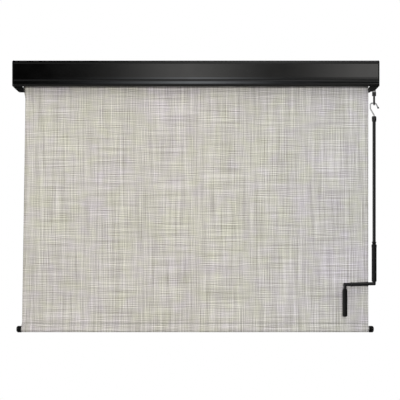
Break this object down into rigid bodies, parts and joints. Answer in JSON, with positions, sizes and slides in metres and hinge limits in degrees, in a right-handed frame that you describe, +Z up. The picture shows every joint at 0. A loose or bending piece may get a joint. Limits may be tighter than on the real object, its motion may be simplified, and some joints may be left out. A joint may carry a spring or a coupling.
{
  "type": "outdoor roller shade",
  "caption": "Wide outdoor roller shade: woven fabric on a roller behind a black valance, wound by a worm gear with a hook-on crank pole, hem bar below.",
  "frame": {"origin": "centre of the rectangle of the four wall screw holes, in the wall plane", "axes": "+Z up, +X to the right as seen from the front, +Y into the wall"},
  "size_m": [1.8372, 0.1191, 1.3666],
  "materials": {
    "black_coat": "satin black powder coat",
    "black_plastic": "black moulded plastic",
    "grip": "black moulded grip",
    "black_steel": "black coated steel",
    "plated_steel": "bright plated steel",
    "bronze": "bearing bronze",
    "bare_aluminium": "mill finish aluminium",
    "spline_plastic": "white plastic strip",
    "shade_fabric": "woven linen-look outdoor screen cloth"
  },
  "bodies": {
    "head": {"valance": "black_coat", "end_cap_left": "black_plastic", "end_cap_right": "black_plastic", "bracket_left": "black_coat", "bracket_right": "black_coat", "idler_housing": "black_plastic", "gear_housing": "black_plastic", "gear_cover": "black_plastic", "idler_pin": "plated_steel", "worm_bush_upper": "bronze", "worm_bush_lower": "plated_steel", "housing_screws": "plated_steel", "cover_screws": "plated_steel", "fabric_panel": "shade_fabric"},
    "roller": {"roller_tube": "bare_aluminium", "tube_spline": "spline_plastic", "drive_plug": "black_plastic", "idler_plug": "black_plastic", "drive_shaft": "plated_steel", "worm_wheel": "bronze", "fabric_roll": "shade_fabric"},
    "hem": {"hem_bar": "bare_aluminium", "hem_pocket": "shade_fabric", "hem_cap_left": "black_plastic", "hem_cap_right": "black_plastic"},
    "worm_and_eye": {"worm": "plated_steel", "crank_eye": "black_steel", "eye_pin": "plated_steel"},
    "hand_sleeve": {"upper_grip": "grip"},
    "crank": {"crank_hook": "plated_steel", "hook_tip": "black_plastic", "crank_ferrule": "black_steel", "crank_pole": "black_steel", "pole_collar": "black_plastic", "crank_arm": "black_steel", "arm_sleeve": "black_steel", "grip_stop": "black_plastic", "grip_retainer": "black_plastic"},
    "handle_sleeve": {"lower_grip": "grip"}
  },
  "joints": [
    {"name": "crank_swing", "type": "hinge", "parent": "head", "child": "hand_sleeve", "pos_m": [0.89435, -0.0804, -0.14795], "axis": [-1, 0, 0], "range_deg": [0, 60]},
    {"name": "crank_turn", "type": "hinge", "parent": "hand_sleeve", "child": "crank", "pos_m": [0.89435, -0.0804, -0.9], "axis": [0, 0, 1], "range_deg": [0, 20880]},
    {"name": "eye_turn", "type": "hinge", "parent": "head", "child": "worm_and_eye", "pos_m": [0.89435, -0.0804, -0.06], "axis": [0, 0, 1], "range_deg": [0, 20880]},
    {"name": "roller_turn", "type": "hinge", "parent": "head", "child": "roller", "pos_m": [0, -0.058, -0.008], "axis": [1, 0, 0], "range_deg": [0, 2983]},
    {"name": "hem_lift", "type": "slide", "parent": "head", "child": "hem", "axis": [0, 0, 1], "range_m": [0, 1.15], "deforming": ["fabric_panel"]},
    {"name": "handle_spin", "type": "hinge", "parent": "crank", "child": "handle_sleeve", "pos_m": [0.74835, -0.0804, -1.14], "axis": [0, 0, 1], "continuous": true}
  ],
  "couplings": [
    {"joint": "eye_turn", "follows": "crank_turn", "ratio": 1},
    {"joint": "roller_turn", "follows": "crank_turn", "ratio": 0.14286},
    {"joint": "hem_lift", "follows": "crank_turn", "m_per_rad": 0.0031557}
  ]
}
